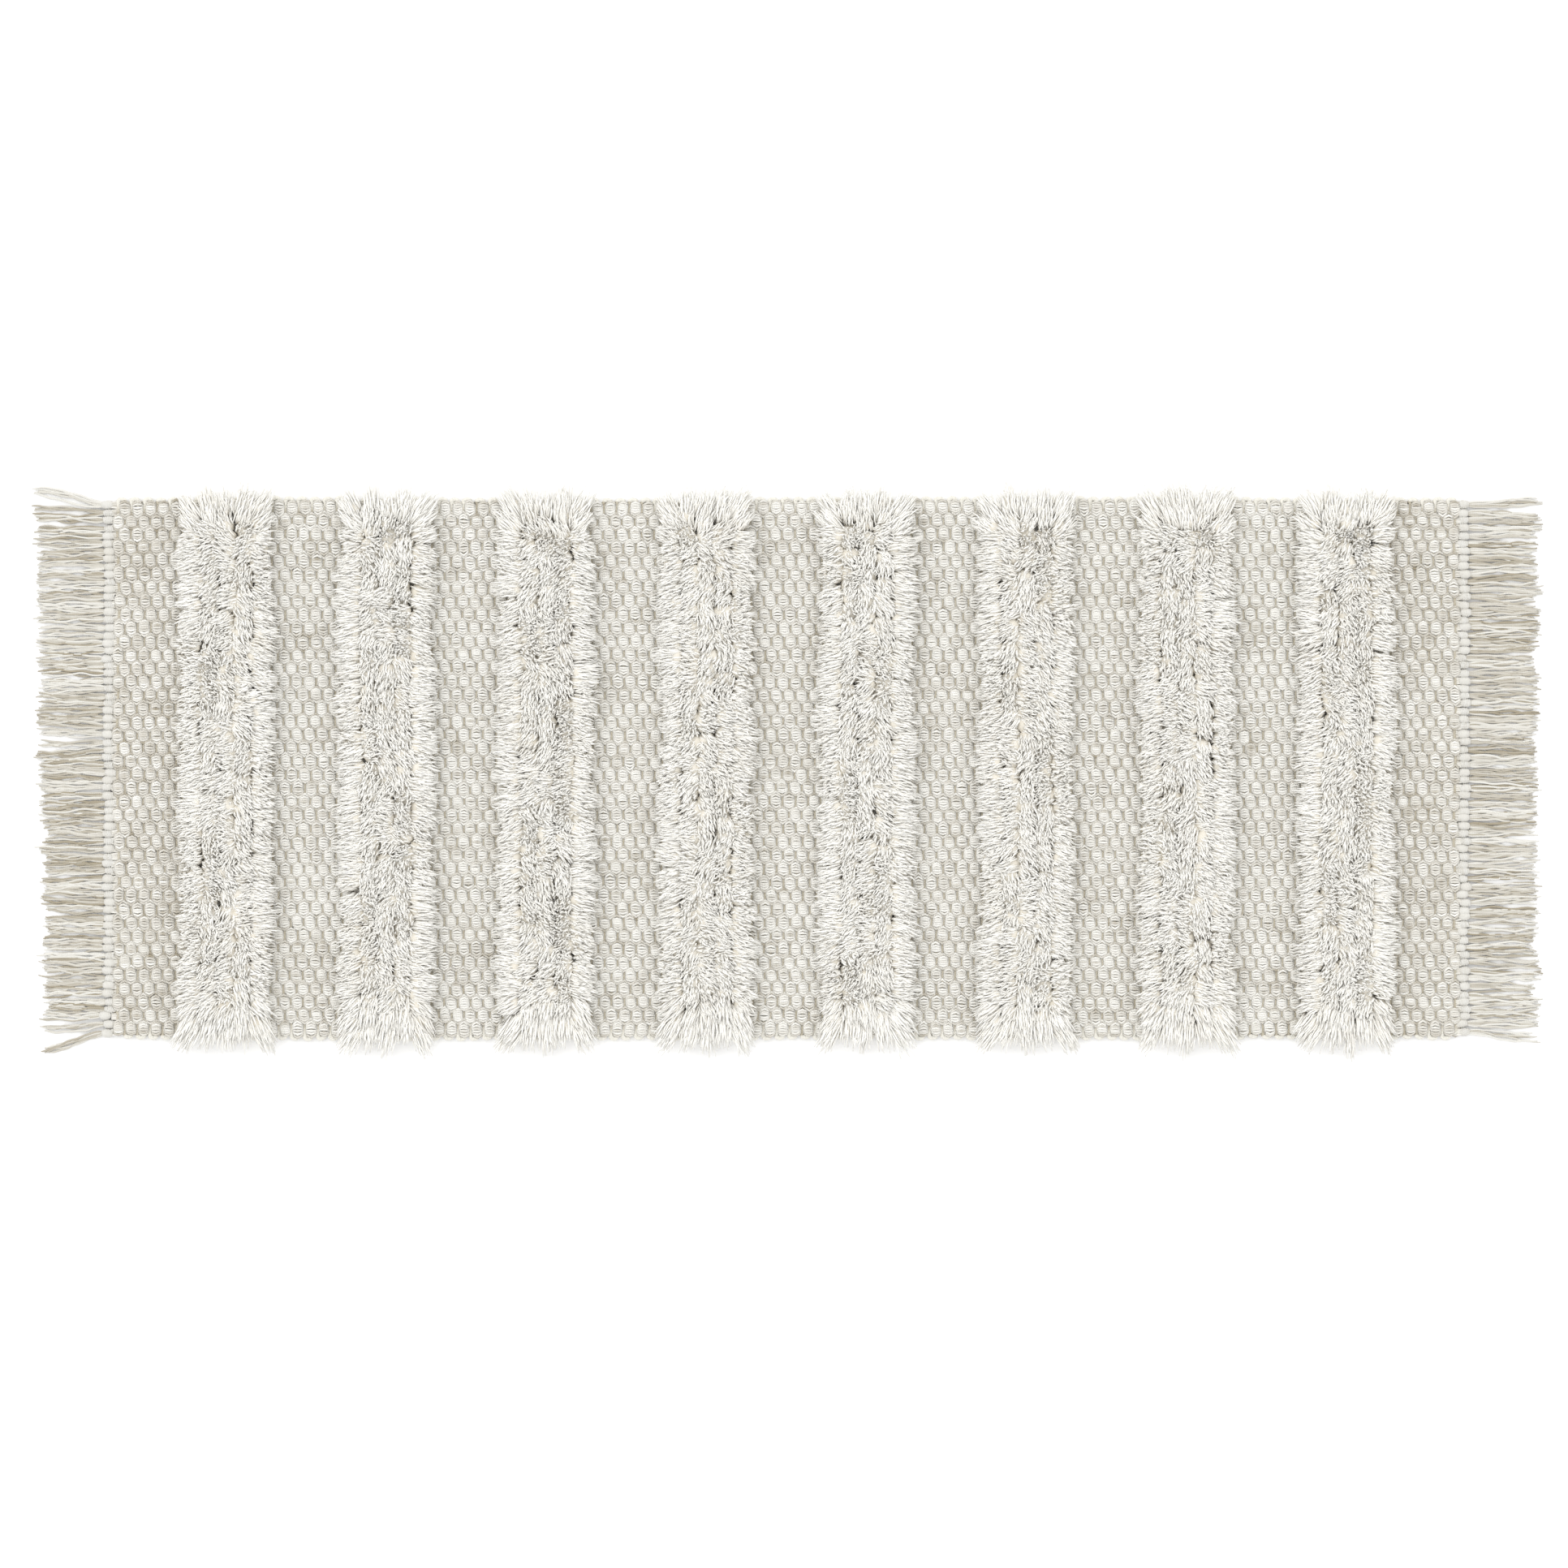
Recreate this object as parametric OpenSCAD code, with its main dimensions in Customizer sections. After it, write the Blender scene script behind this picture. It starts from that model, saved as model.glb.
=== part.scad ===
// Runner rug: thick hand-woven cotton cloth with shaggy pile bands and a knotted fringe.
// X runs along the rug, Y across it and Z up. The origin is on the floor under the centre.
// The cloth is cut into stretches that bend at the edges of the bands, where it rolls up.

/* [Cloth] */
// Distance between neighbouring weft cords along the rug
weft_pitch = 9.375; // [8:0.125:12]
// Diameter of a weft cord
weft_d = 6.4; // [4:0.1:7]
// How much thicker a weft cord is where it turns back at the selvedge
turn_swell = 0.2; // [0.1:0.05:0.3]
// Diameter of a warp thread
warp_d = 2.8; // [2:0.1:4]
// Number of knots at each end, each tying a few warp threads
knot_count = 70; // [40:1:90]
// Warp threads tied into one knot
warps_per_knot = 4; // [3:1:6]
// Weft cords in each flat-woven end
end_wefts = 11; // [5:1:20]
// Weft cords under each pile band
band_wefts = 13; // [7:1:20]
// Weft cords in each flat-woven field between two bands
field_wefts = 12; // [6:1:20]
// Number of pile bands
band_count = 8; // [2:1:8]

/* [Pile] */
// Height of the pile above the cloth
pile_h = 25; // [10:1:40]
// Rows of tufts across a band
pile_rows = 5; // [2:1:7]
// How far the pile falls outwards beyond the sides of its band
pile_fall = 12; // [0:1:14]
// How far the pile falls outwards beyond the selvedges
pile_overhang = 20; // [0:1:30]
// Parting between two rows of tufts
row_parting = 0.8; // [0.3:0.1:2]

/* [Fringe] */
// Length of a knot
knot_l = 17; // [10:1:30]
// Length over which a knot narrows at each of its ends
knot_taper = 3.4; // [1:0.1:4.5]
// How much thinner a knot is at its ends than at its middle
knot_narrowing = 3.2; // [1:0.1:5]
// Length of the fringe beyond the knots
fringe_l = 98; // [40:1:200]
// Length over which the strands of a tassel are still gathered, just beyond their knot
tassel_root_l = 8; // [3:1:20]
// Unevenness of the cut ends
tip_variation = 6; // [0:1:20]

/* [Clearances] */
// Gap around a weft cord in the cloth
weft_gap = 0.15; // [0.1:0.05:0.4]
// Gap between two stretches of cloth at a bend
bend_gap = 0.3; // [0.2:0.1:1]
// Gap between neighbouring knots
knot_gap = 0.6; // [0.2:0.1:2]
// Gap between neighbouring strands of the fringe
strand_gap = 0.3; // [0.1:0.1:1]

/* [Hidden] */
$fn = 48;
// Overlap by which the strands of a tassel are joined to its root
strand_seat = 1;
// Overlap by which a weft cord is joined to its turns
turn_seat = 0.5;
cloth_t = weft_d + 2 * warp_d;
cloth_w = knot_count * warps_per_knot * warp_d;
knot_pitch = warps_per_knot * warp_d;
step_wefts = band_wefts + field_wefts;
all_wefts = 2 * end_wefts + band_count * band_wefts + (band_count - 1) * field_wefts;
cloth_l = all_wefts * weft_pitch;
band_l = band_wefts * weft_pitch;
knot_d = knot_pitch - knot_gap;
knot_end_d = knot_d - knot_narrowing;
strand_d = warp_d - strand_gap;

// Index of the first weft cord of a band, of the field after it, and of the right end
function band_first(b) = end_wefts + (b - 1) * step_wefts;
function field_first(f) = band_first(f) + band_wefts;
right_first = all_wefts - end_wefts;

// Place along the rug of the left side of a weft cord's column
function column_x(i) = i * weft_pitch - cloth_l / 2;

// Cloth section under a pile band: a flat top
module flat_section(count) {
    square([count * weft_pitch - bend_gap, cloth_t]);
}

// Cloth section of a flat-woven field: the warp rides over each weft cord in a rib
module ribbed_section(count) {
    length = count * weft_pitch - bend_gap;
    square([length, cloth_t / 2]);
    intersection() {
        translate([0, cloth_t / 4]) square([length, cloth_t]);
        for (i = [0 : count - 1])
            translate([(i + 0.5) * weft_pitch - bend_gap / 2, cloth_t / 2]) circle(d = cloth_t);
    }
}

// A stretch of warp threads, packed side by side, with a bore for each weft cord
module ground(first, count, ribbed) {
    color("antiquewhite")
    translate([column_x(first) + bend_gap / 2, cloth_w / 2, 0])
    rotate([90, 0, 0])
    linear_extrude(height = cloth_w)
    difference() {
        if (ribbed) ribbed_section(count);
        else flat_section(count);
        for (i = [0 : count - 1])
            translate([(i + 0.5) * weft_pitch - bend_gap / 2, cloth_t / 2])
            circle(d = weft_d + 2 * weft_gap);
    }
}

// The round turn of a weft cord at one selvedge
module weft_turn() {
    rotate_extrude(angle = 180) translate([weft_pitch / 2, 0]) circle(d = weft_d + turn_swell);
}

// The weft cord of a stretch, laid to and fro through its bores
module weft(first, count) {
    color("wheat")
    translate([0, 0, cloth_t / 2]) {
        for (i = [first : first + count - 1])
            translate([column_x(i + 0.5), 0, 0])
            rotate([90, 0, 0]) cylinder(h = cloth_w + 2 * turn_seat, d = weft_d, center = true);
        for (i = [first : first + count - 2])
            mirror([0, i % 2, 0])
            translate([column_x(i + 1), cloth_w / 2, 0]) weft_turn();
    }
}

// One row of tufts, fanning outwards with its place in the band
module pile_row(r) {
    root = band_l / pile_rows;
    tip = root + 2 * pile_fall / pile_rows;
    left = r - pile_rows / 2;
    half = row_parting / 2;
    tip_w = cloth_w + 2 * pile_overhang;
    intersection() {
        rotate([90, 0, 0])
        linear_extrude(height = tip_w, center = true)
        polygon([
            [left * root + half, 0], [(left + 1) * root - half, 0],
            [(left + 1) * tip - half, pile_h], [left * tip + half, pile_h]
        ]);
        rotate([90, 0, 90])
        linear_extrude(height = band_l + 2 * pile_fall, center = true)
        polygon([[-cloth_w / 2, 0], [cloth_w / 2, 0], [tip_w / 2, pile_h], [-tip_w / 2, pile_h]]);
    }
}

// The cut pile of a band, in rows that stand on the cloth
module pile(first) {
    color("snow")
    translate([column_x(first) + band_l / 2, 0, cloth_t])
    for (r = [0 : pile_rows - 1]) pile_row(r);
}

// One overhand knot, lying along X from its cloth side
module knot() {
    middle = knot_l - 2 * knot_taper;
    translate([0, 0, knot_d / 2])
    rotate([0, 90, 0]) {
        cylinder(h = knot_taper, d1 = knot_end_d, d2 = knot_d);
        translate([0, 0, knot_taper]) cylinder(h = middle, d = knot_d);
        translate([0, 0, knot_taper + middle]) cylinder(h = knot_taper, d1 = knot_d, d2 = knot_end_d);
    }
}

// The free ends of one knot's warp threads, side by side on the floor
module tassel(k) {
    linear_extrude(height = strand_d) {
        translate([0, -knot_end_d / 2]) square([tassel_root_l, knot_end_d]);
        for (s = [0 : warps_per_knot - 1]) {
            length = fringe_l - strand_d / 2 - tip_variation * abs(sin(137 * k + 61 * s));
            free_l = length - tassel_root_l + strand_seat;
            translate([tassel_root_l - strand_seat, (s + 0.5 - warps_per_knot / 2) * warp_d]) {
                translate([0, -strand_d / 2]) square([free_l, strand_d]);
                translate([free_l, 0]) circle(d = strand_d);
            }
        }
    }
}

// The row of knots along the end of the cloth that faces +X
module knots() {
    color("whitesmoke")
    for (k = [0 : knot_count - 1])
        translate([cloth_l / 2, (k + 0.5) * knot_pitch - cloth_w / 2, 0]) knot();
}

// The fringe beyond that row of knots
module fringe() {
    color("ivory")
    for (k = [0 : knot_count - 1])
        translate([cloth_l / 2 + knot_l, (k + 0.5) * knot_pitch - cloth_w / 2, 0]) tassel(k);
}

ground(0, end_wefts, true);  // ground_end_left
weft(0, end_wefts);  // weft_end_left
rotate([0, 0, 180]) knots();  // knots_left
rotate([0, 0, 180]) fringe();  // fringe_left
for (b = [1 : band_count]) {
    ground(band_first(b), band_wefts, false);
    weft(band_first(b), band_wefts);
    pile(band_first(b));
}
for (f = [1 : band_count - 1]) {
    ground(field_first(f), field_wefts, true);
    weft(field_first(f), field_wefts);
}
ground(right_first, end_wefts, true);  // ground_end_right
weft(right_first, end_wefts);  // weft_end_right
knots();  // knots_right
fringe();  // fringe_right
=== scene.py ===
"""Runner rug: thick hand-woven cotton with shaggy pile bands and a knotted fringe, yarn by yarn."""
import math

import bpy
import numpy as np
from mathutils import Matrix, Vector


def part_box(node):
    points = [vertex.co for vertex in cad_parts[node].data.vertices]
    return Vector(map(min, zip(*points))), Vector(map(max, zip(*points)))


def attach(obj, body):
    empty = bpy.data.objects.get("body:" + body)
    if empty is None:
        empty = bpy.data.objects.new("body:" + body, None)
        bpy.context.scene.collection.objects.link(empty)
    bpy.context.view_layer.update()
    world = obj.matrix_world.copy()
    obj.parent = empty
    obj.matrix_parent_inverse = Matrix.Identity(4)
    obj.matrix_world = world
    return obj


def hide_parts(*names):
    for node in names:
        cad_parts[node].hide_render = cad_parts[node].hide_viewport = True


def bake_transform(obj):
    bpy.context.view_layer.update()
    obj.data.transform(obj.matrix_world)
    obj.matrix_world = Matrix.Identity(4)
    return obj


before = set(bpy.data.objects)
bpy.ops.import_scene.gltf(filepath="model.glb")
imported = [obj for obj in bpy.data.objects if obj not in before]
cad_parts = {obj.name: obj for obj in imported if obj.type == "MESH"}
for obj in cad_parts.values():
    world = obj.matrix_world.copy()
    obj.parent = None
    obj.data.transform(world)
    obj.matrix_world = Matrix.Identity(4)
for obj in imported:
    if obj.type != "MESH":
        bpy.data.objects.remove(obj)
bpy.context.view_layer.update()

MM = 0.001
SEED = 20

# How the rug is woven, as in the CAD
END_WEFTS = 11
BAND_WEFTS = 13
FIELD_WEFTS = 12
BANDS = 8
ALL_WEFTS = 2 * END_WEFTS + BANDS * BAND_WEFTS + (BANDS - 1) * FIELD_WEFTS
WARP_GROUPS = 40
GROUP_THREADS = 7
WARPS = WARP_GROUPS * GROUP_THREADS
KNOTS = 70
KNOT_STRANDS = 4
BEND_GAP = 0.3 * MM

# Sizes from the frame
ground_low, ground_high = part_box("ground_end_left")
_, right_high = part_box("ground_end_right")
knot_low, knot_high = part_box("knots_right")
fringe_low, fringe_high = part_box("fringe_right")
pile_low, pile_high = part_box("pile_band_1")
CLOTH_L = right_high[0] - ground_low[0] + BEND_GAP
CLOTH_W = ground_high[1] - ground_low[1]
CLOTH_T = ground_high[2] - ground_low[2]
WEFT_PITCH = CLOTH_L / ALL_WEFTS
WARP_PITCH = CLOTH_W / WARPS
GROUP_W = CLOTH_W / WARP_GROUPS
KNOT_PITCH = CLOTH_W / KNOTS
KNOT_L = knot_high[0] - knot_low[0]
KNOT_R = (knot_high[2] - knot_low[2]) / 2
FRINGE_L = fringe_high[0] - fringe_low[0]
PILE_H = pile_high[2] - pile_low[2]
PILE_FALL = (pile_high[0] - pile_low[0] - BAND_WEFTS * WEFT_PITCH) / 2
PILE_OVERHANG = pile_high[1] - CLOTH_W / 2

# The bodies in order along the rug, and the bends between them
order = ["end_left"]
bends = []
column = END_WEFTS
for b in range(1, BANDS + 1):
    order.append(f"band_{b}")
    bends.append(column)
    column += BAND_WEFTS
    bends.append(column)
    if b < BANDS:
        order.append(f"field_{b}")
        column += FIELD_WEFTS
order.append("end_right")


def column_x(index):
    """Place along the rug of the left side of a weft cord's column."""
    return index * WEFT_PITCH - CLOTH_L / 2


def random(*key):
    """A repeatable random generator for one piece."""
    return np.random.default_rng([SEED, *key])


def unit(v):
    """The vectors in v, each made one long."""
    return v / np.maximum(np.linalg.norm(v, axis=-1, keepdims=True), 1e-12)


def smooth(t):
    """0 below 0, 1 above 1, and an easy curve between."""
    t = np.clip(t, 0, 1)
    return t * t * (3 - 2 * t)


# The slow unevenness of hand weaving: a few waves, each shorter and weaker than the one before
WAVE_COUNT = 6
WAVE_REACH = 0.9 * MM
WAVE_FADE = 0.4
waves = [(random(1, i).uniform(-1, 1, 2) * (9 + 6 * i), random(2, i).uniform(0, 2 * math.pi))
         for i in range(WAVE_COUNT)]


def hand_woven(points):
    """Points shifted along and across the rug by the unevenness of hand weaving, alike for every piece."""
    x, y = points[..., 0], points[..., 1]
    moved = points.copy()
    for i, (wave, phase) in enumerate(waves):
        turn = wave[0] * x * 3 + wave[1] * y * 4 + phase
        reach = WAVE_REACH / (1 + WAVE_FADE * i)
        moved[..., 0] += reach * np.sin(turn)
        moved[..., 1] += reach * np.cos(turn * 1.3 + i)
    return moved


# Margins round each tube in the grid of the unwrapped surface
BAKE_EDGE_U = 0.05
BAKE_EDGE_V = 0.08


def tubes(paths, radii, sides, up, tone, across=1, roll=math.pi / 2):
    """One closed tube along each of the n paths of m points, as the parts of a mesh.

    radii is n by m, or n by m by sides where the tubes are lumpy. tone is each yarn's shade, n long or
    n by m. across is how many tubes lie side by side in the grid of the unwrapped surface. roll is the
    angle of a tube's first corner, from its own side towards up.
    """
    n, m, _ = paths.shape
    tangent = unit(np.gradient(paths, axis=1))
    side = unit(np.cross(tangent, np.broadcast_to(np.asarray(up, float), paths.shape)))
    lift = np.cross(side, tangent)
    angle = np.arange(sides) * 2 * math.pi / sides + roll
    ring = np.cos(angle)[:, None] * side[:, :, None] + np.sin(angle)[:, None] * lift[:, :, None]
    reach = radii[..., None] if radii.ndim == 2 else radii
    verts = paths[:, :, None] + reach[..., None] * ring

    around = np.arange(sides)
    following = (around + 1) % sides
    start = (np.arange(n)[:, None, None] * m + np.arange(m - 1)[None, :, None]) * sides
    after = start + sides
    quads = np.stack([start + around, start + following, after + following, after + around], -1)
    first = np.arange(n)[:, None] * m * sides
    caps = np.concatenate([first + around[::-1], first + (m - 1) * sides + around], 0)

    length = np.zeros((n, m))
    length[:, 1:] = np.cumsum(np.linalg.norm(np.diff(paths, axis=1), axis=-1), axis=1)
    yarn = np.arange(n)
    along = math.ceil(n / across)
    step = np.broadcast_to(np.arange(m - 1)[None, :, None, None] + np.array([0, 0, 1, 1]), quads.shape)
    turn = np.broadcast_to((around[:, None] + np.array([0, 1, 1, 0])) / sides, quads.shape)
    place_u = BAKE_EDGE_U + (1 - 2 * BAKE_EDGE_U) * step / (m - 1)
    place_v = BAKE_EDGE_V + (1 - 2 * BAKE_EDGE_V) * turn
    cell = yarn[:, None, None, None]
    bake = np.stack([cell % across + place_u, cell // across + place_v], -1)
    cap_yarn = np.concatenate([yarn, yarn])
    cap_u = cap_yarn % across + np.repeat([BAKE_EDGE_U, 1 - BAKE_EDGE_U], n)
    cap_bake = np.repeat(np.stack([cap_u, cap_yarn // across + 0.5], -1), sides, axis=0)
    here = length[yarn[:, None, None, None], step]
    cap_here = np.repeat(np.concatenate([length[:, 0], length[:, -1]]), sides)
    return {
        "verts": verts.reshape(-1, 3),
        "corners": np.concatenate([quads.ravel(), caps.ravel()]),
        "sizes": np.concatenate([np.full(quads.size // 4, 4), np.full(len(caps), sides)]),
        "bake": np.concatenate([bake.reshape(-1, 2), cap_bake]) / (across, along),
        "twist": np.concatenate([np.stack([here, turn], -1).reshape(-1, 2),
                                 np.stack([cap_here, 0 * cap_here], -1)]),
        "tone": np.repeat(np.broadcast_to(tone[:, None] if tone.ndim == 1 else tone, (n, m)).ravel(), sides),
    }


def yarn_mesh(name, *batches):
    """One piece made of one or more batches of tubes."""
    firsts = np.cumsum([0] + [len(batch["verts"]) for batch in batches])
    corners = np.concatenate([batch["corners"] + first for batch, first in zip(batches, firsts)])
    verts, sizes, twist, tone = (np.concatenate([batch[key] for batch in batches])
                                 for key in ("verts", "sizes", "twist", "tone"))
    bake = np.concatenate([(batch["bake"] + (i, 0)) / (len(batches), 1) for i, batch in enumerate(batches)])
    mesh = bpy.data.meshes.new(name)
    mesh.vertices.add(len(verts))
    mesh.vertices.foreach_set("co", verts.astype(np.float32).ravel())
    mesh.loops.add(len(corners))
    mesh.loops.foreach_set("vertex_index", corners.astype(np.int32))
    mesh.polygons.add(len(sizes))
    mesh.polygons.foreach_set("loop_start", np.concatenate([[0], np.cumsum(sizes)[:-1]]).astype(np.int32))
    mesh.polygons.foreach_set("use_smooth", np.ones(len(sizes), bool))
    mesh.update(calc_edges=True)
    for layer, uv in (("OFBake", bake), ("Twist", twist)):
        mesh.uv_layers.new(name=layer).data.foreach_set("uv", uv.astype(np.float32).ravel())
    mesh.attributes.new("tone", "FLOAT", "POINT").data.foreach_set("value", tone.astype(np.float32))
    piece = bpy.data.objects.new(name, mesh)
    bpy.context.scene.collection.objects.link(piece)
    return piece


# Cotton yarn: how much its slow patches and its single fibres change the shade
PATCH_SHADE = 0.35
FIBRE_SHADE = 0.5


def cotton(name, light, dark, twist_mm, twist_depth, fuzz_depth, sheen):
    """Matt cotton yarn, whose tone runs from dark to light; twist and depths are in mm."""
    material = bpy.data.materials.new(name)
    material.use_nodes = True
    nodes, links = material.node_tree.nodes, material.node_tree.links
    shader = nodes["Principled BSDF"]
    shader.inputs["Roughness"].default_value = 0.92
    shader.inputs["Specular IOR Level"].default_value = 0.15
    shader.inputs["Sheen Weight"].default_value = sheen
    shader.inputs["Sheen Roughness"].default_value = 0.6

    def node(kind, **inputs):
        made = nodes.new(kind)
        for key, value in inputs.items():
            made.inputs[key].default_value = value
        return made

    def math_node(operation, first, second):
        made = nodes.new("ShaderNodeMath")
        made.operation = operation
        for slot, value in zip(made.inputs, (first, second)):
            if isinstance(value, (int, float)):
                slot.default_value = value
            else:
                links.new(value, slot)
        return made.outputs[0]

    place = nodes.new("ShaderNodeTexCoord").outputs["Object"]
    patches = node("ShaderNodeTexNoise", Scale=14.0, Detail=3.0)
    links.new(place, patches.inputs["Vector"])
    fibres = node("ShaderNodeTexNoise", Scale=900.0, Detail=4.0, Roughness=0.7)
    links.new(place, fibres.inputs["Vector"])
    tone = nodes.new("ShaderNodeAttribute")
    tone.attribute_name = "tone"

    shade = math_node("MULTIPLY", math_node("SUBTRACT", patches.outputs["Fac"], 0.5), PATCH_SHADE)
    shade = math_node("ADD", shade, tone.outputs["Fac"])
    speckle = math_node("MULTIPLY", math_node("SUBTRACT", fibres.outputs["Fac"], 0.5), FIBRE_SHADE)
    shade = math_node("ADD", shade, speckle)
    ramp = nodes.new("ShaderNodeValToRGB")
    ramp.color_ramp.elements[0].color = (*dark, 1)
    ramp.color_ramp.elements[1].color = (*light, 1)
    links.new(shade, ramp.inputs["Fac"])
    links.new(ramp.outputs["Color"], shader.inputs["Base Color"])

    spun = nodes.new("ShaderNodeUVMap")
    spun.uv_map = "Twist"
    parts = nodes.new("ShaderNodeSeparateXYZ")
    links.new(spun.outputs["UV"], parts.inputs[0])
    turns = math_node("DIVIDE", parts.outputs["X"], twist_mm * MM)
    two_ply = math_node("MULTIPLY", math_node("ADD", turns, parts.outputs["Y"]), 4 * math.pi)
    wave = math_node("SINE", two_ply, 0.0)
    twist_bump = node("ShaderNodeBump", Strength=0.6, Distance=twist_depth * MM)
    links.new(wave, twist_bump.inputs["Height"])
    fuzz_bump = node("ShaderNodeBump", Strength=0.5, Distance=fuzz_depth * MM)
    links.new(fibres.outputs["Fac"], fuzz_bump.inputs["Height"])
    links.new(twist_bump.outputs["Normal"], fuzz_bump.inputs["Normal"])
    links.new(fuzz_bump.outputs["Normal"], shader.inputs["Normal"])
    return material


warp_cotton = cotton("warp_cotton", (0.88, 0.865, 0.815), (0.36, 0.31, 0.22), 5.0, 0.25, 0.4, 0.1)
weft_cotton = cotton("weft_cotton", (0.76, 0.74, 0.67), (0.46, 0.41, 0.31), 9.0, 0.6, 0.5, 0.1)
pile_cotton = cotton("pile_cotton", (0.92, 0.905, 0.86), (0.68, 0.63, 0.53), 12.0, 0.05, 0.3, 0.3)
knot_cotton = cotton("knot_cotton", (0.72, 0.71, 0.675), (0.50, 0.46, 0.37), 5.0, 0.3, 0.7, 0.1)
fringe_cotton = cotton("fringe_cotton", (0.75, 0.735, 0.685), (0.38, 0.335, 0.25), 6.0, 0.3, 0.4, 0.1)


def dress(piece, material):
    """Gives a piece its material."""
    piece.data.materials.append(material)
    return piece


# The warp: thread by thread over and under the weft cords
CREST = 1.50           # how far the threads of a group spread where they ride over a cord
WAIST = 0.67           # and how far they close up between two cords
OVERHANG = 3.3         # how far a thread bulges along the rug, round its cord
CREST_SHARPNESS = 7    # how quickly it spreads and swells towards the top of its cord
WARP_RISE = 4.6 * MM   # height of a thread's centre above the middle of the cloth, over a cord
SIDE_DROP = 0.40       # how much lower the outer threads of a group ride, as a share of that
SELVEDGE_PULL = 2.2 * MM   # how far the turning weft pulls the outermost groups inwards
THREAD_R = 1.50 * MM
THREAD_SWELL = 0.58 * MM   # how much fatter a thread lies over a cord
MIDDLE_Z = CLOTH_T / 2 + 0.8 * MM

# Points along a thread, in weft pitches from the middle of a cord: in the open, and under the pile
FIELD_STEPS = np.array([-0.5, -0.25, -0.125, 0, 0.125, 0.25])
BAND_STEPS = np.array([-0.5, -0.25, 0, 0.25])

# Tones of the warp, mostly painted light and shade
CREVICE_SHADE_TONE = 0.12       # painted shade, where a thread dips between two cords
CREST_PAINTED_LIGHT = 0.80        # painted light: how much lighter it is over a cord, where it rides highest
TOP_WIDTH = 1.6        # how far along the thread that painted light reaches
EDGE_PAINTED_SHADE = 0.50       # painted shade: how much darker the outermost threads of a group are, in the crevices between cells
END_TONE = 0.15        # how much darker the flat ends of the rug are
UNDER_PILE_PAINTED_LIGHT = 0.05       # painted light: how much lighter it is under the pile, for light bounced among its strands

weave_random = random(3)
cell_shift = weave_random.normal(0, 0.7 * MM, (WARP_GROUPS, ALL_WEFTS))
cell_slide = weave_random.normal(0, 0.45 * MM, (WARP_GROUPS, ALL_WEFTS))
cell_size = weave_random.normal(1, 0.05, (WARP_GROUPS, ALL_WEFTS))
cell_tone = weave_random.normal(0, 0.09, (WARP_GROUPS, ALL_WEFTS))
thread_shift = weave_random.normal(0, 0.30 * MM, (WARPS, ALL_WEFTS))
thread_lift = weave_random.normal(0, 0.35 * MM, (WARPS, ALL_WEFTS))
thread_tone = weave_random.normal(0, 0.18, (WARPS, ALL_WEFTS))


def under_pile(cord):
    """Whether a weft cord lies under a pile band."""
    place = (cord - END_WEFTS) % (BAND_WEFTS + FIELD_WEFTS)
    return END_WEFTS <= cord < ALL_WEFTS - END_WEFTS and place < BAND_WEFTS


def weave(name, first, last):
    """The warp threads from weft cord first up to last."""
    steps = [BAND_STEPS if under_pile(i) else FIELD_STEPS for i in range(first, last)]
    cords = [np.full(len(step), i) for i, step in zip(range(first, last), steps)]
    cord = np.concatenate(cords + [[last - 1]])
    step = np.concatenate(steps + [[0.5]])
    thread = np.arange(WARPS)
    group = thread // GROUP_THREADS
    over = np.cos(math.pi * (cord + step)[None, :] + math.pi * group[:, None])
    crest = np.abs(over) ** CREST_SHARPNESS
    centre = (group + 0.5) * GROUP_W - CLOTH_W / 2
    offset = (thread + 0.5) * WARP_PITCH - CLOTH_W / 2 - centre
    share = offset / (GROUP_W / 2)
    spread = WAIST + (CREST * cell_size[group][:, cord] - WAIST) * crest
    y = centre[:, None] + offset[:, None] * spread
    y += crest * (cell_shift[group][:, cord] + thread_shift[:, cord])
    outermost = (group == 0) | (group == WARP_GROUPS - 1)
    y -= (outermost * np.sign(centre))[:, None] * crest * SELVEDGE_PULL
    rise = np.sign(over) * np.sqrt(np.abs(over))
    z = MIDDLE_Z + WARP_RISE * rise * (1 - SIDE_DROP * share[:, None] ** 2 * crest)
    z -= np.abs(thread_lift[:, cord]) * crest * np.sign(over)
    bulge = step + OVERHANG * np.sin(2 * math.pi * step) / (2 * math.pi)
    x = column_x(cord + 0.5 + bulge) + crest * cell_slide[group][:, cord]
    radii = THREAD_R + THREAD_SWELL * crest
    # Painted light and shade: dark where a thread dips between cords, light where it rides over one
    tone = CREVICE_SHADE_TONE + CREST_PAINTED_LIGHT * smooth(TOP_WIDTH * np.abs(over))
    tone += crest * (cell_tone[group][:, cord] + thread_tone[:, cord])
    # Painted shade on a group's outermost threads, in the crevices between cells
    tone -= EDGE_PAINTED_SHADE * np.abs(share[:, None]) ** 5
    # Painted light on the warp under the pile
    tone += np.array([UNDER_PILE_PAINTED_LIGHT * under_pile(i) for i in cord])
    tone -= END_TONE * ((cord < END_WEFTS) | (cord >= ALL_WEFTS - END_WEFTS))
    paths = hand_woven(np.stack([np.broadcast_to(x, y.shape), y, z], -1))
    return yarn_mesh(name, tubes(paths, radii, 3, (0, 1, 0), tone, roll=math.pi / 3))


# The weft: one cord laid to and fro, turning round at each selvedge
WEFT_R = 3.2 * MM
TURN_R = 3.9 * MM
WEFT_SHADE_TONE = 0.2        # painted shade inside the cloth, where it shows only between the threads
# the cord where it turns round a selvedge, light, without that painted shade
TURN_TONE = 1.2
RUN_STEPS = 49
TURN_STEPS = 8


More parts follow.
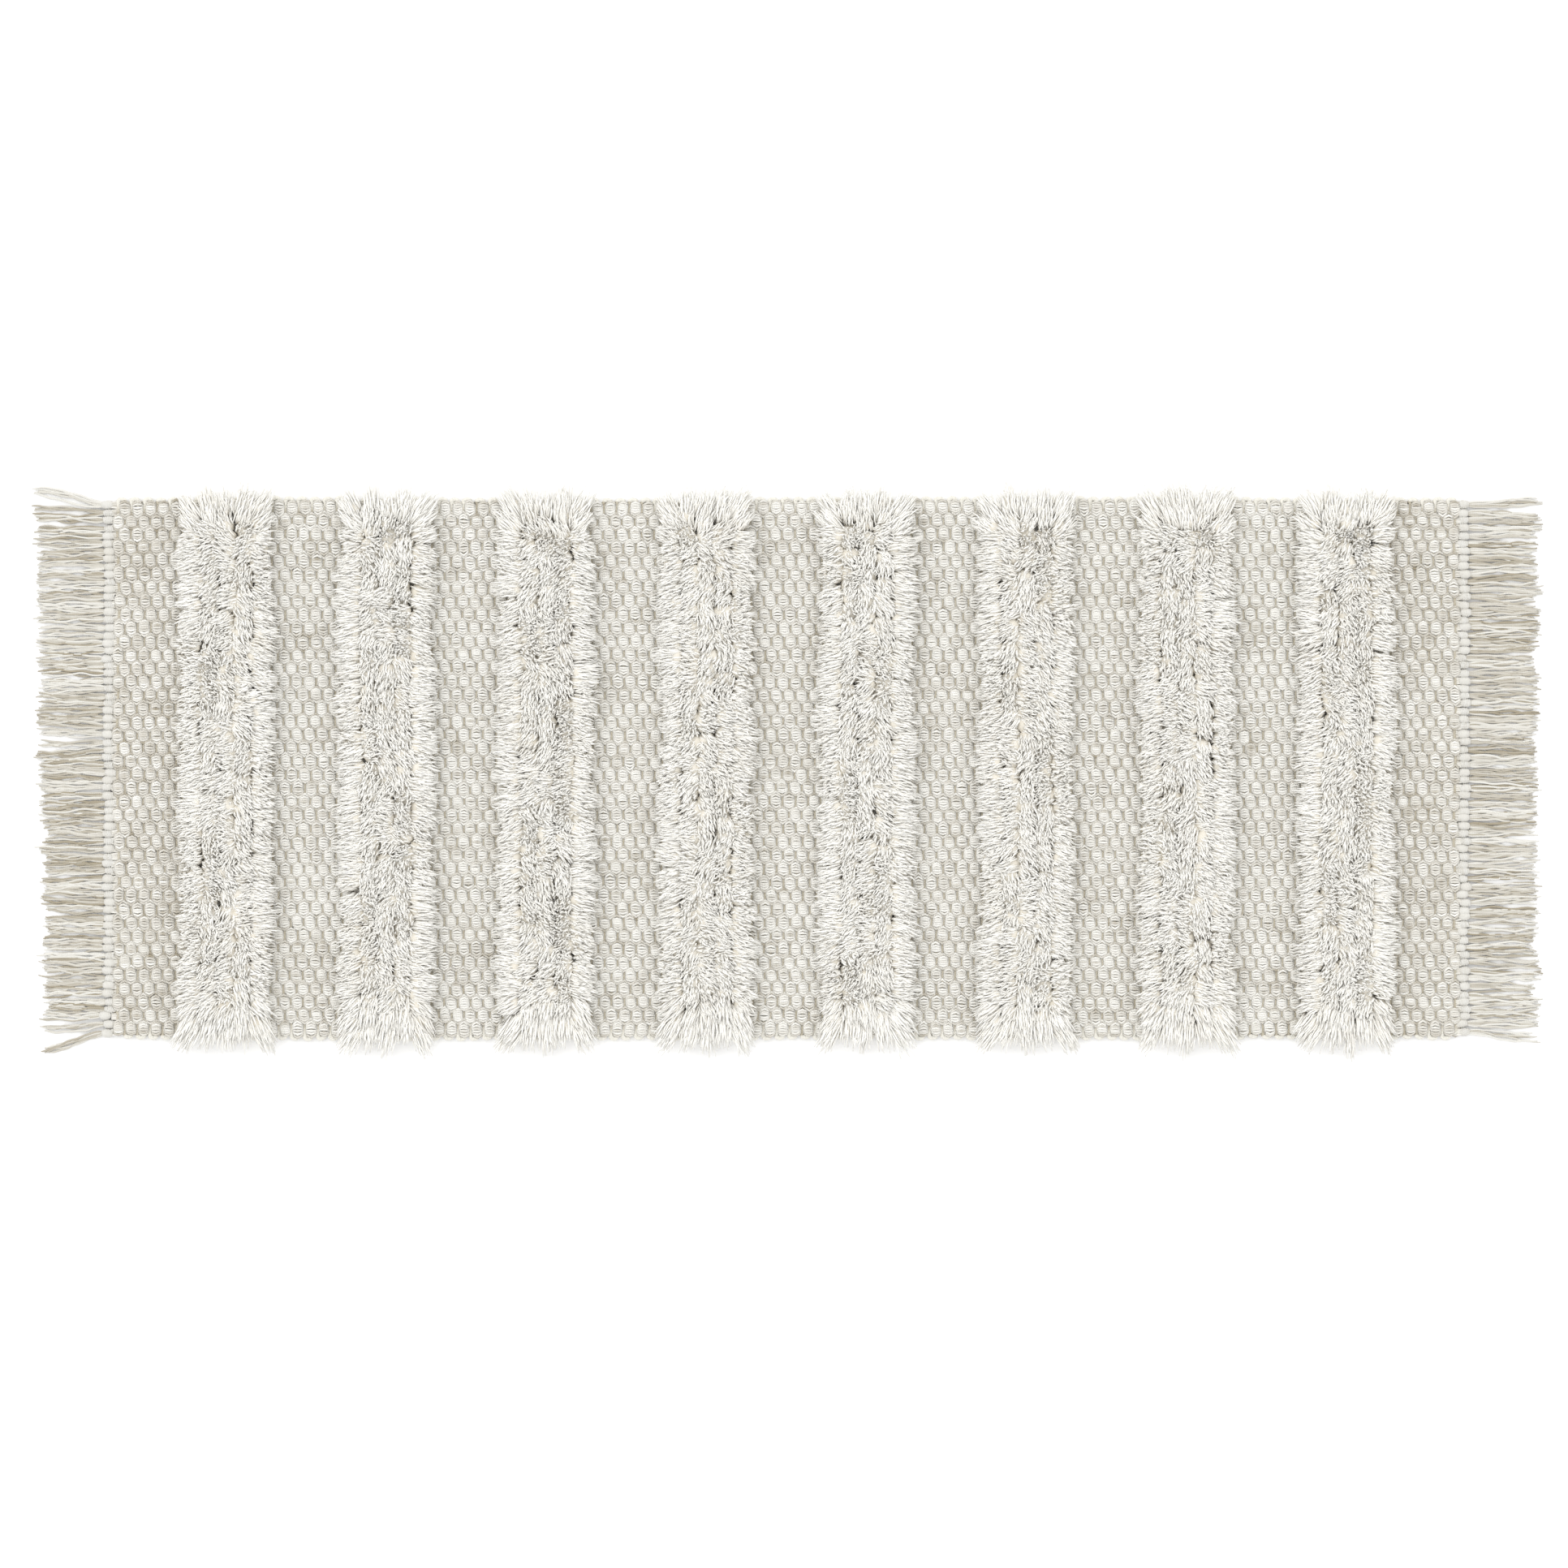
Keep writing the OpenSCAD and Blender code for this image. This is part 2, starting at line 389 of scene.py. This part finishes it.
def weft(name, first, last, turn_after):
    """The weft cord from column first up to last, with a turn after the last column if it runs on."""
    points = []
    straight = np.linspace(-1, 1, RUN_STEPS) * CLOTH_W / 2
    for i in range(first, last):
        way = 1 if i % 2 == 0 else -1
        points += [(column_x(i + 0.5), way * y) for y in straight]
        if i < last - 1 or turn_after:
            for angle in np.linspace(-math.pi / 2, math.pi / 2, TURN_STEPS + 2)[1:-1]:
                points.append((column_x(i + 1) + WEFT_PITCH / 2 * math.sin(angle),
                               way * (CLOTH_W / 2 + WEFT_PITCH / 3 * math.cos(angle))))
    flat = np.array(points)
    path = np.concatenate([flat, np.full((len(flat), 1), MIDDLE_Z)], 1)[None]
    wobble = random(4, first).normal(0, 0.12 * MM, path.shape)
    path = hand_woven(path + wobble)
    beyond = np.abs(path[..., 1]) > CLOTH_W / 2 - 1 * MM
    radii = np.where(beyond, TURN_R, WEFT_R)
    # Painted shade on the cord inside the cloth; its turns stay light
    tone = WEFT_SHADE_TONE + random(5, first).normal(0, 0.05, path.shape[:2])
    tone = np.where(beyond, TURN_TONE, tone)
    return yarn_mesh(name, tubes(path, radii, 6, (0, 0, 1), tone))


# Painted shade: the sheet in the heart of the cloth is dark, as the shade deep between its yarns
CORE_SHADE_TONE = 0.3


def core(name, first, last):
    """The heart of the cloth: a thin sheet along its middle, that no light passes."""
    across, along = 9, 2 * (last - first) + 1
    x, y = np.meshgrid(np.linspace(column_x(first), column_x(last), along),
                       np.linspace(-CLOTH_W / 2, CLOTH_W / 2, across), indexing="ij")
    verts = hand_woven(np.stack([x, y, np.full(x.shape, MIDDLE_Z)], -1)).reshape(-1, 3)
    faces = [(i * across + j, (i + 1) * across + j, (i + 1) * across + j + 1, i * across + j + 1)
             for i in range(along - 1) for j in range(across - 1)]
    mesh = bpy.data.meshes.new(name)
    mesh.from_pydata(verts.tolist(), [], faces)
    corners = np.array([corner for face in faces for corner in face])
    bake = np.stack([corners // across / (along - 1), corners % across / (across - 1)], -1)
    for layer in ("OFBake", "Twist"):
        mesh.uv_layers.new(name=layer).data.foreach_set("uv", bake.astype(np.float32).ravel())
    # Painted shade over the whole sheet
    attribute = mesh.attributes.new("tone", "FLOAT", "POINT")
    attribute.data.foreach_set("value", np.full(len(verts), CORE_SHADE_TONE, np.float32))
    piece = bpy.data.objects.new(name, mesh)
    bpy.context.scene.collection.objects.link(piece)
    return piece


# The pile: rows of combed locks along each band, each a soft body under a coat of cut strands
PILE_ROWS = 5
LOCKS = 40
ROOT_Z = CLOTH_T - 2 * MM
ROW_JITTER = 1.6 * MM
LOCK_JITTER = 2.5 * MM
SELVEDGE_IN = 8 * MM   # nearest that a lock's root comes to the selvedge
EDGE_FROM = 0.41       # where locks begin to lean outwards, as a share of the width from the middle
EDGE_OVER = 0.08       # and over how much of the width that grows
COMB_WAY = -1.7        # way that the locks are combed, on the whole, in radians from +X

# A lock's body at its rings: place up the body, height, radius, and tone, darker towards the root as painted
# shade deep in the pile
BODY_SIDES = 8
LOCK_AT = np.array([0, 0.3, 0.6, 0.85, 1.0])
LOCK_RISE = np.array([0, 0.28, 0.43, 0.53, 0.57])
LOCK_R = np.array([14.5, 16.5, 15.0, 10.5, 4.0]) * MM
LOCK_SHADE_TONE = np.array([0.0, 0.1, 0.2, 0.3, 0.35])
SLIMMING = 0.3         # how much slimmer the bodies are at the selvedges

# A strand at its points: place along it, height, spread from the middle of its lock, radius, and tone,
# darker towards the root as painted shade deep in the pile
HAIRS = 66
HAIR_DISC = 12.0 * MM
HAIR_AT = np.array([0.1, 0.4, 0.75, 1.0])
HAIR_RISE = np.array([0.16, 0.78, 1.0, 0.93])
HAIR_SPREAD = np.array([1.15, 1.15, 1.15, 1.2])
HAIR_R = np.array([1.3, 1.45, 1.25, 0.55]) * MM
HAIR_SHADE_TONE = np.array([0.35, 0.8, 1.0, 1.0])


def combed(dice, band, row, lock_y):
    """The way in which each lock of a row falls, in radians.

    It drifts along the row in a long wave and a short one, and from row to row.
    """
    comb = random(12, band).uniform(0, 2 * math.pi, 3)
    heading = COMB_WAY + 0.9 * np.sin(5 * lock_y / CLOTH_W * math.pi + comb[0])
    heading = heading + 0.7 * np.sin(2.1 * row + comb[1])
    heading += 0.5 * np.sin(11 * lock_y / CLOTH_W * math.pi + comb[2] + row) + dice.normal(0, 0.3, LOCKS)
    return heading


def pile_row(name, band, row):
    """One row of locks across the rug."""
    dice = random(6, band, row)
    first = END_WEFTS + (band - 1) * (BAND_WEFTS + FIELD_WEFTS)
    band_l = BAND_WEFTS * WEFT_PITCH
    out = (row - (PILE_ROWS - 1) / 2) / ((PILE_ROWS - 1) / 2)
    lock_x = column_x(first) + band_l * (row + 0.5) / PILE_ROWS + dice.normal(0, ROW_JITTER, LOCKS)
    lock_y = (np.arange(LOCKS) + 0.25 + 0.5 * (row % 2)) * CLOTH_W / LOCKS - CLOTH_W / 2
    limit = CLOTH_W / 2 - SELVEDGE_IN
    lock_y = np.clip(lock_y + dice.normal(0, LOCK_JITTER, LOCKS), -limit, limit)
    edge = smooth((np.abs(lock_y) - CLOTH_W * EDGE_FROM) / (CLOTH_W * EDGE_OVER))
    over_edge = np.sign(lock_y) * edge * PILE_OVERHANG
    heading = combed(dice, band, row, lock_y)
    fall = dice.uniform(9, 16, LOCKS) * (1 - 0.5 * out ** 2) * MM
    lean_x = out * abs(out) * PILE_FALL * 1.5 + fall * np.cos(heading) * (1 - 0.6 * edge)
    lean_y = over_edge * 1.6 + fall * np.sin(heading) * (1 - 0.5 * edge)
    lean = np.stack([lean_x, lean_y], -1)[:, None]
    root = np.stack([lock_x, lock_y], -1)[:, None]
    height = PILE_H * dice.uniform(0.88, 1.05, LOCKS)
    girth = dice.uniform(0.88, 1.12, LOCKS)
    lock_tone = dice.normal(0, 0.05, LOCKS)

    t = LOCK_AT[:, None]
    outward = np.stack([0 * edge, over_edge * 0.4], -1)[:, None]
    body_flat = root + lean * (0.35 * t ** 1.4 - 0.15) + outward * t
    body_z = ROOT_Z + height[:, None] * LOCK_RISE
    body = np.concatenate([body_flat, body_z[..., None]], -1)
    lumps = dice.uniform(0.85, 1.08, (LOCKS, len(LOCK_AT), BODY_SIDES))
    lumps *= (1 - SLIMMING * np.maximum(edge, 0.4 * (abs(out) == 1)))[:, None, None]
    body_radii = (LOCK_R * girth[:, None])[..., None] * lumps
    # Painted shade towards the lock's root
    body_tubes = tubes(hand_woven(body), body_radii, BODY_SIDES, (1, 0.3, 0),
                       LOCK_SHADE_TONE + lock_tone[:, None], across=8)

    count = (LOCKS, HAIRS, 1)
    share = dice.uniform(0, 1, count) ** 0.55 * HAIR_DISC
    way = dice.uniform(0, 2 * math.pi, count)
    disc = np.concatenate([share * np.cos(way), share * np.sin(way)], -1) * girth[:, None, None]
    reach = dice.uniform(0.65, 1.35, count)
    t = HAIR_AT[:, None]
    own_lean = lean * reach + dice.normal(0, 2.2 * MM, (LOCKS, HAIRS, 2))
    curl = dice.normal(0, 1.1 * MM, (LOCKS, HAIRS, len(HAIR_AT), 2)) * t
    spread = disc[:, :, None] * HAIR_SPREAD[:, None]
    flat = root[:, None] + spread + own_lean[:, :, None] * (t ** 1.3 - 0.4) + curl
    tall = height[:, None] * dice.uniform(0.72, 1.04, (LOCKS, HAIRS))
    tall = tall * (1.05 - 0.2 * share[..., 0] / HAIR_DISC)
    z = ROOT_Z + tall[..., None] * HAIR_RISE
    hair = np.concatenate([flat, z[..., None]], -1).reshape(LOCKS * HAIRS, len(HAIR_AT), 3)
    hair_radii = HAIR_R * dice.uniform(0.7, 1.2, (LOCKS * HAIRS, 1))
    own_tone = np.repeat(lock_tone, HAIRS) + dice.normal(0, 0.08, LOCKS * HAIRS)
    # Painted shade towards each strand's root
    hair_tubes = tubes(hand_woven(hair), hair_radii, 3, (0, 0, 1), HAIR_SHADE_TONE + own_tone[:, None],
                       across=HAIRS, roll=math.pi / 6)
    return yarn_mesh(name, body_tubes, hair_tubes)


# The knots and the fringe, at the right end; the left end is the same turned round, with its own yarns
NECK_R = 1.6 * MM
NECK_STEPS = 6
NECK_TONE = 0.8
HEART_TONE = 0.78
WRAP_STEPS = 22
WRAP_R = 1.55 * MM
WRAP_PITCH = 2.6 * MM  # from one yarn of a knot to the next
WRAP_RUN = 7.5 * MM    # how far along the knot each yarn winds
WRAP_TURNS = 1.35
WRAP_TONE = 0.88
STRANDS = 6            # in each tassel, as the four warp threads untwist
STRAND_R = 1.5 * MM
KNOT_AT = np.array([0, 0.12, 0.32, 0.5, 0.68, 0.88, 1.0])
KNOT_SHAPE = np.array([0.5, 0.86, 1.0, 1.03, 1.0, 0.86, 0.5])


def knot_places(end):
    """The middle of each knot, as distances beyond the cloth and across the rug, and its size."""
    dice = random(10, end + 1)
    x = CLOTH_L / 2 + KNOT_L * 0.52 + dice.normal(0, 1.7 * MM, KNOTS)
    y = (np.arange(KNOTS) + 0.5) * KNOT_PITCH - CLOTH_W / 2 + dice.normal(0, 0.9 * MM, KNOTS)
    return x, y, np.clip(dice.normal(1.0, 0.08, KNOTS), 0.85, 1.12)


def turned(paths, end):
    """Paths made at the right end, turned round to the left end where end is -1."""
    return paths * np.array([end, end, 1])


def necks(name, end):
    """The warp threads between the cloth and the knots."""
    dice = random(7, end + 1)
    _, knot_y, _ = knot_places(end)
    t = np.linspace(0, 1, NECK_STEPS)
    thread_y = (np.arange(WARPS) + 0.5) * WARP_PITCH - CLOTH_W / 2
    centre = np.repeat(knot_y, KNOT_STRANDS)
    near = centre + (thread_y - centre) * 0.8
    y = thread_y[:, None] + (near - thread_y)[:, None] * smooth(t)
    x = CLOTH_L / 2 + (-5 + 11 * t)[None, :] * MM + 0 * y
    z = MIDDLE_Z + 1.5 * MM * t + dice.normal(0, 0.8 * MM, (WARPS, 1)) * np.sin(t * math.pi)
    paths = turned(np.stack([x, y, z], -1), end)
    tone = NECK_TONE + dice.normal(0, 0.08, WARPS)
    return yarn_mesh(name, tubes(paths, np.full((WARPS, NECK_STEPS), NECK_R), 4, (0, 0, 1), tone))


def knots(name, end):
    """Each knot: a soft heart and the yarns wound round it."""
    dice = random(8, end + 1)
    knot_x, knot_y, size = knot_places(end)
    heart_r = KNOT_R * 1.1 * size[:, None] * KNOT_SHAPE
    heart_x = knot_x[:, None] + (KNOT_AT - 0.5) * KNOT_L * 1.02
    heart = np.stack([heart_x, knot_y[:, None] + 0 * heart_x, np.maximum(heart_r * 1.03, KNOT_R)], -1)
    lumps = dice.uniform(0.9, 1.03, (KNOTS, len(KNOT_AT), 8))
    hearts = tubes(turned(heart, end), heart_r[..., None] * lumps, 8, (0, 0, 1),
                   HEART_TONE + dice.normal(0, 0.05, KNOTS), across=7)

    t = np.linspace(0, 1, WRAP_STEPS)
    wrap = np.tile(np.arange(KNOT_STRANDS), KNOTS)
    knot = np.repeat(np.arange(KNOTS), KNOT_STRANDS)
    lay = dice.choice([1, 1, 1, -1], KNOTS)[knot]
    start = dice.uniform(0, 2 * math.pi, KNOTS)[knot]
    along = (wrap - (KNOT_STRANDS - 1) / 2)[:, None] * WRAP_PITCH + (t - 0.5) * WRAP_RUN
    barrel = np.sqrt(np.clip(1 - (along / (KNOT_L * 0.60)) ** 2, 0.1, 1))
    round_r = KNOT_R * barrel * size[knot][:, None]
    angle = start[:, None] + lay[:, None] * WRAP_TURNS * 2 * math.pi * t
    y = knot_y[knot][:, None] + round_r * np.cos(angle)
    z = np.maximum(KNOT_R + round_r * np.sin(angle), WRAP_R + 0.3 * MM)
    paths = turned(np.stack([knot_x[knot][:, None] + along, y, z], -1), end)
    radii = WRAP_R * (0.85 + 0.2 * np.sin(t * math.pi))[None, :] * np.ones((len(knot), 1))
    tone = WRAP_TONE + dice.normal(0, 0.08, len(knot))
    outward = np.stack([np.zeros_like(y), np.cos(angle) * end, np.sin(angle)], -1)
    return yarn_mesh(name, hearts, tubes(paths, radii, 5, outward, tone, across=KNOT_STRANDS))


# By end, and by side of the rug: mm that the corner tassels swing out
SPLAY = {(1, 1): 10, (1, -1): 7, (-1, 1): 20, (-1, -1): 27}
# By end: mm that the fringe is cut shorter towards -Y
TRIM = {1: 0, -1: 15}
FRINGE_STEPS = 24
FRINGE_WAVES = ((0.8, 1.9), (1.7, 1.1), (3.4, 0.5))  # in each strand: how many, and their reach in mm
STRAY_SHARE = 0.04     # of the strands that are longer than the rest
STRAY_L = 9 * MM
STRAND_Z = 1.8 * MM    # height of the lowest strands, which lie on the floor
STRAND_TONE = 0.60
STRAND_CONTRAST = 0.36


def fringe(name, end):
    """The free ends of the warp, lying on the floor."""
    dice = random(9, end + 1)
    knot_x, knot_y, _ = knot_places(end)
    count = KNOTS * STRANDS
    t = np.linspace(0, 1, FRINGE_STEPS)[None, :]
    strand = np.tile(np.arange(STRANDS), KNOTS) - (STRANDS - 1) / 2
    knot = np.repeat(np.arange(KNOTS), STRANDS)
    short = TRIM[end] * MM * (0.5 - end * knot_y / CLOTH_W)
    length = FRINGE_L + 4 * MM + (dice.normal(0, 2.5 * MM, KNOTS) - short)[knot]
    length = length + dice.normal(0, 3.0 * MM, count)
    stray = dice.uniform(0, 1, count) < STRAY_SHARE
    length = np.minimum(length + stray * STRAY_L, FRINGE_L + 15 * MM)
    x = knot_x[knot][:, None] + KNOT_L / 2 - 4 * MM + length[:, None] * t
    drift = np.cumsum(dice.normal(0, 1.0, KNOTS))
    drift = (drift - np.convolve(drift, np.ones(7) / 7, "same")) * 2.4 * MM
    for corner in (1, -1):
        rank = np.arange(KNOTS) if corner * end == -1 else KNOTS - 1 - np.arange(KNOTS)
        drift = drift + corner * end * SPLAY[(end, corner)] * MM * np.exp(-rank / 0.8)
    opening = dice.uniform(2.5, 12, KNOTS)[knot][:, None]
    gather = 0.8 + 0.85 * smooth(t * opening)
    y = knot_y[knot][:, None] + strand[:, None] * gather * MM
    y = y + drift[knot][:, None] * smooth(t * 0.95) ** 0.8
    for wave, reach in FRINGE_WAVES:
        turn = 2 * math.pi * (wave * dice.uniform(0.7, 1.3, (count, 1)) * t + dice.uniform(0, 1, (count, 1)))
        y = y + reach * MM * (np.sin(turn) - np.sin(turn[:, :1])) * smooth(t * 2)
    layer = dice.uniform(0, 3.2 * MM, (count, 1)) * smooth(t * 3) * (0.6 + 0.4 * np.cos(t * 3))
    radii = STRAND_R * dice.uniform(0.88, 1.15, (count, 1)) * (1 - 0.45 * smooth(t * 7 - 6))
    z = STRAND_Z + (KNOT_R - STRAND_Z) * np.exp(-t * 7) + layer
    paths = turned(np.stack([x, y, z], -1), end)
    tone = STRAND_TONE + dice.normal(0, STRAND_CONTRAST, count)
    return yarn_mesh(name, tubes(paths, radii, 5, (0, 0, 1), tone, across=2))


def bend_across(piece):
    """Bakes the piece's placement into its mesh."""
    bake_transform(piece)


def node_of(kind, body):
    """The CAD node of that kind on a body."""
    return f"{kind}_{body}"


# The cloth, in one span for each bend, that runs from the middle of one body to the middle of the next
middles = [(bends[k] + bends[k + 1]) // 2 for k in range(len(bends) - 1)]
starts = [0, *middles]
stops = [*middles, ALL_WEFTS]
for k, (first, last) in enumerate(zip(starts, stops)):
    stands_for = [order[k + 1]] if k else [order[0], order[1]]
    warp_piece = dress(weave(f"warp_span_{k + 1}", first, last), warp_cotton)
    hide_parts(*[node_of("ground", body) for body in stands_for])
    weft_piece = weft(f"weft_span_{k + 1}", first, last, last < ALL_WEFTS)
    dress(weft_piece, weft_cotton)
    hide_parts(*[node_of("weft", body) for body in stands_for])
    core_piece = dress(core(f"core_span_{k + 1}", first, last), weft_cotton)
    for piece in (warp_piece, weft_piece, core_piece):
        bend_across(piece)

# The pile: its outermost rows are baked in place, the others go with their band
for b in range(1, BANDS + 1):
    for row in range(PILE_ROWS):
        piece = dress(pile_row(f"pile_{b}_row_{row + 1}", b, row), pile_cotton)
        if row == 0:
            bend_across(piece)
        elif row == PILE_ROWS - 1:
            bend_across(piece)
        else:
            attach(piece, f"band_{b}")
        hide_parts(f"pile_band_{b}")

# Both ends
for end, side in ((1, "right"), (-1, "left")):
    free_body = "fringe_right" if end == 1 else "end_left"
    neck_piece = dress(necks(f"necks_{side}", end), warp_cotton)
    if end == 1:
        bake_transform(neck_piece)
    else:
        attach(neck_piece, free_body)
    knot_piece = dress(knots(f"knots_yarn_{side}", end), knot_cotton)
    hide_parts(f"knots_{side}")
    fringe_piece = dress(fringe(f"fringe_yarn_{side}", end), fringe_cotton)
    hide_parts(f"fringe_{side}")
    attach(knot_piece, free_body)
    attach(fringe_piece, free_body)

# The floor
FLOOR_SIZE = 14.0
FLOOR_DROP = 0.2 * MM  # so that nothing lies in its plane
bpy.ops.mesh.primitive_plane_add(size=FLOOR_SIZE, location=(0, 0, -FLOOR_DROP))
floor = bpy.context.object
floor.name = "floor"
paper = bpy.data.materials.new("floor_paper")
paper.use_nodes = True
paper.node_tree.nodes["Principled BSDF"].inputs["Base Color"].default_value = (0.95, 0.95, 0.95, 1)
paper.node_tree.nodes["Principled BSDF"].inputs["Roughness"].default_value = 0.9
floor.data.materials.append(paper)

# Light: an even white sky and a soft sun, from the left end's side and from +Y
world = bpy.data.worlds.new("studio")
bpy.context.scene.world = world
world.use_nodes = True
world.node_tree.nodes["Background"].inputs["Color"].default_value = (1, 1, 1, 1)
world.node_tree.nodes["Background"].inputs["Strength"].default_value = 1.2
sun_data = bpy.data.lights.new("sun", "SUN")
sun_data.energy = 0.7
sun_data.angle = math.radians(60)
sun = bpy.data.objects.new("sun", sun_data)
sun.rotation_euler = (math.radians(-32), math.radians(-24), 0)
bpy.context.scene.collection.objects.link(sun)

# Camera: straight down, with the rug a little above the middle of the view
VIEW_W = 2.299
VIEW_CENTRE = (-0.0036, -0.0226)
CAMERA_H = 7.0
camera_data = bpy.data.cameras.new("camera")
camera_data.sensor_width = 36.0
camera_data.lens = camera_data.sensor_width * (CAMERA_H - CLOTH_T) / VIEW_W
camera_data.clip_end = 50.0
camera = bpy.data.objects.new("camera", camera_data)
camera.location = (*VIEW_CENTRE, CAMERA_H)
bpy.context.scene.collection.objects.link(camera)
bpy.context.scene.camera = camera
bpy.context.scene.view_settings.view_transform = "Standard"
